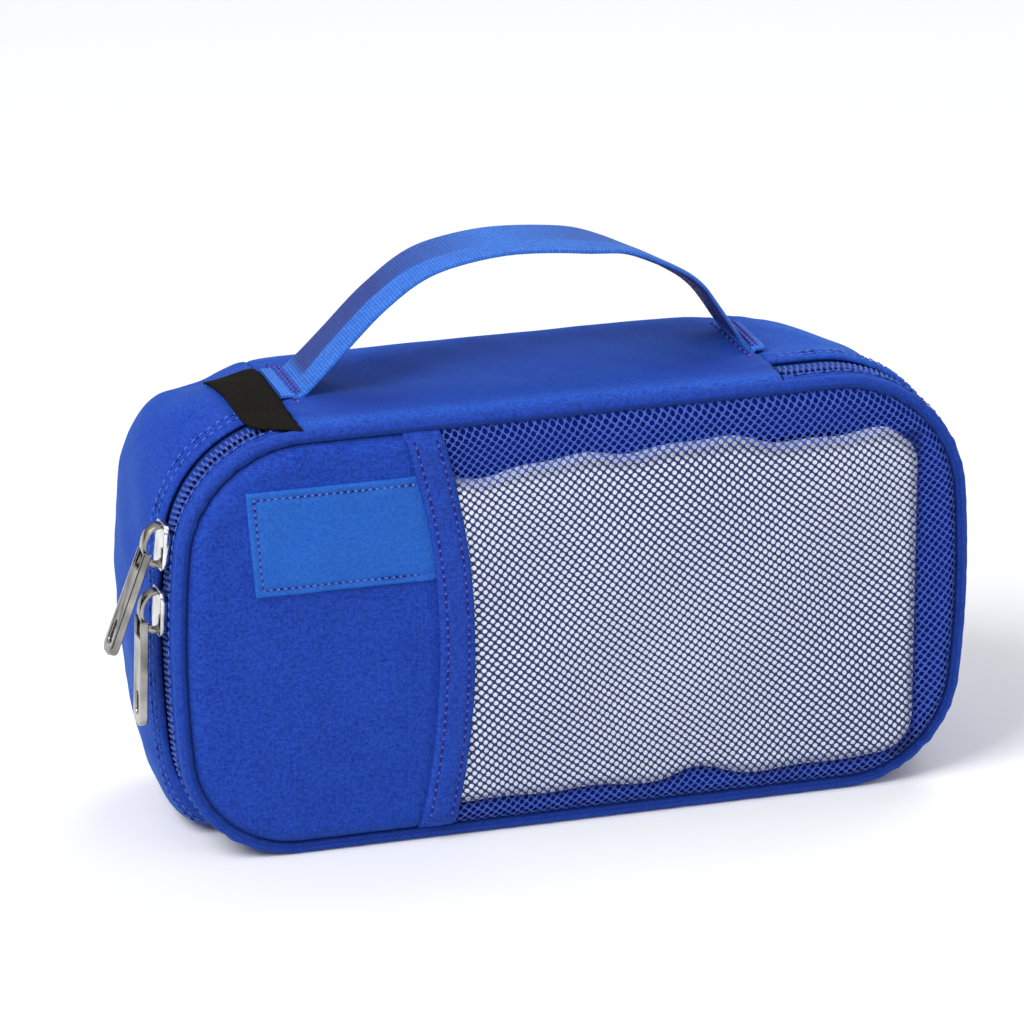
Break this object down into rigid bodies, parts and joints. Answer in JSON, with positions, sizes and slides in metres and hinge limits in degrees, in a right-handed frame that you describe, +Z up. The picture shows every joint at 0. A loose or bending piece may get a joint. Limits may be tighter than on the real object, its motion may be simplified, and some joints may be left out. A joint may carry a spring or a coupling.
{
  "type": "packing cube",
  "caption": "Small zipped packing cube with a mesh window, piped front, two-slider zip round three sides, a flap lid hinged along its top and a webbing carrying handle.",
  "frame": {"origin": "middle of the flat underside, on the floor, halfway along the length and the depth", "axes": "+X along the length towards the right end, -Y out of the mesh front, +Z up towards the handle"},
  "size_m": [0.197, 0.062, 0.1283],
  "materials": {
    "body_cloth": "fine plain-weave nylon, royal blue",
    "patch_cloth": "smooth woven patch, brighter blue, bare",
    "mesh": "knitted polyester mesh, blue",
    "webbing": "flat woven webbing, satin",
    "binding_tape": "plain binding tape",
    "zip_tape": "woven zip tape",
    "zip_coil": "nylon coil",
    "piping_core": "flexible plastic cord inside the piping",
    "zip_metal": "polished gunmetal nickel plate",
    "pull_metal": "polished gunmetal nickel plate, lightly worn edges",
    "flag_cloth": "folded woven tape, near black, bare",
    "filler": "soft white padding"
  },
  "bodies": {
    "shell": {"back_panel": "body_cloth", "side_gusset": "body_cloth", "top_panel": "body_cloth", "rear_seam_binding": "binding_tape", "zip_tape_rear": "zip_tape", "zip_coil_rear": "zip_coil", "handle_end_left": "webbing", "handle_end_right": "webbing", "flag_label": "flag_cloth"},
    "lid": {"front_fabric_panel": "body_cloth", "mesh_window": "mesh", "window_trim": "body_cloth", "blank_patch": "patch_cloth", "piping_cover": "body_cloth", "piping_cord": "piping_core", "lid_gusset": "body_cloth", "lid_top_strip": "body_cloth", "zip_tape_front": "zip_tape", "zip_coil_front": "zip_coil", "front_seam_binding": "binding_tape", "filler_pad": "filler", "flag_label_tip": "flag_cloth"},
    "handle": {"handle_strap": "webbing"},
    "upper_slider": {"upper_slider_body": "zip_metal", "upper_slider_bridge": "zip_metal"},
    "upper_pull": {"upper_pull_tab": "pull_metal"},
    "lower_slider": {"lower_slider_body": "zip_metal", "lower_slider_bridge": "zip_metal"},
    "lower_pull": {"lower_pull_tab": "pull_metal"}
  },
  "joints": [
    {"name": "lid_hinge", "type": "hinge", "parent": "shell", "child": "lid", "pos_m": [0, -0.02, 0.1], "axis": [-1, 0, 0], "range_deg": [0, 160]},
    {"name": "handle_swing", "type": "hinge", "parent": "shell", "child": "handle", "pos_m": [0, 0, 0.11], "axis": [-1, 0, 0], "range_deg": [-60, 60], "stiffness_Nm_per_rad": 0.004},
    {"name": "upper_slider_travel", "type": "hinge", "parent": "shell", "child": "upper_slider", "pos_m": [-0.06209, -0.02, 0.07], "axis": [0, 1, 0], "range_deg": [0, 45]},
    {"name": "upper_pull_swing", "type": "hinge", "parent": "upper_slider", "child": "upper_pull", "pos_m": [-0.09407, -0.02, 0.0706], "axis": [0, 1, 0], "range_deg": [0, 80]},
    {"name": "lower_slider_travel", "type": "hinge", "parent": "shell", "child": "lower_slider", "pos_m": [0.158, -0.02, 0.05], "axis": [0, -1, 0], "range_deg": [0, 6]},
    {"name": "lower_pull_swing", "type": "hinge", "parent": "lower_slider", "child": "lower_pull", "pos_m": [-0.09485, -0.02, 0.05531], "axis": [0, 1, 0], "range_deg": [0, 30]}
  ]
}
